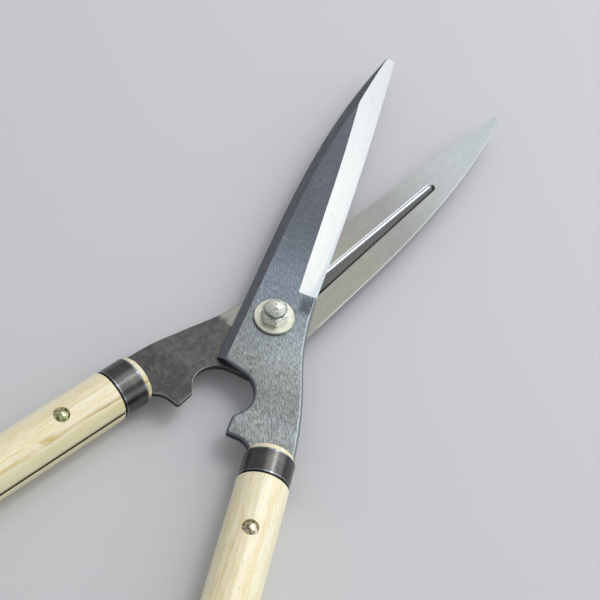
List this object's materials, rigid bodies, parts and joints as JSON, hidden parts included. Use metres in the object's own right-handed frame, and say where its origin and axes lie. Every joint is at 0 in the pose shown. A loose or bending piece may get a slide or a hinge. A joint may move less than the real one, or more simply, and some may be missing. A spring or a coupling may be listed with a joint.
{
  "type": "hedge shears",
  "caption": "Hand hedge shears with forged blades, crescent necks with stops, steel ferrules and round oak handles, joined by a pivot bolt with a domed nut.",
  "frame": {"origin": "bottom centre of the box round the pair as it lies open on its flat side", "axes": "+Y along the line midway between the blades, from the handles to the tips; +Z out of the outer face of the upper blade, along the pivot bolt"},
  "size_m": [0.3684, 0.6692, 0.0364],
  "materials": {
    "front_blade": "blackened forged face, bright ground bevel",
    "rear_blade": "ground inner face, dark scale at the neck",
    "front_handle": "lacquered pale oak",
    "rear_handle": "lacquered pale oak",
    "ferrule": "satin black",
    "rivet": "polished dome",
    "bolt": "zinc plated",
    "nut": "bright zinc plated",
    "washer": "pale yellow zinc"
  },
  "bodies": {
    "front_half": {"front_blade": "front_blade", "front_handle": "front_handle", "front_ferrule": "ferrule", "front_rivet": "rivet", "pivot_bolt": "bolt", "cap_nut": "nut", "front_washer": "washer", "rear_washer": "washer"},
    "rear_half": {"rear_blade": "rear_blade", "rear_handle": "rear_handle", "rear_ferrule": "ferrule", "rear_rivet": "rivet"}
  },
  "joints": [
    {"name": "pivot", "type": "hinge", "parent": "front_half", "child": "rear_half", "pos_m": [0.00679, 0.12707, 0.0165], "axis": [0, 0, 1], "range_deg": [-99, 22.3]}
  ]
}
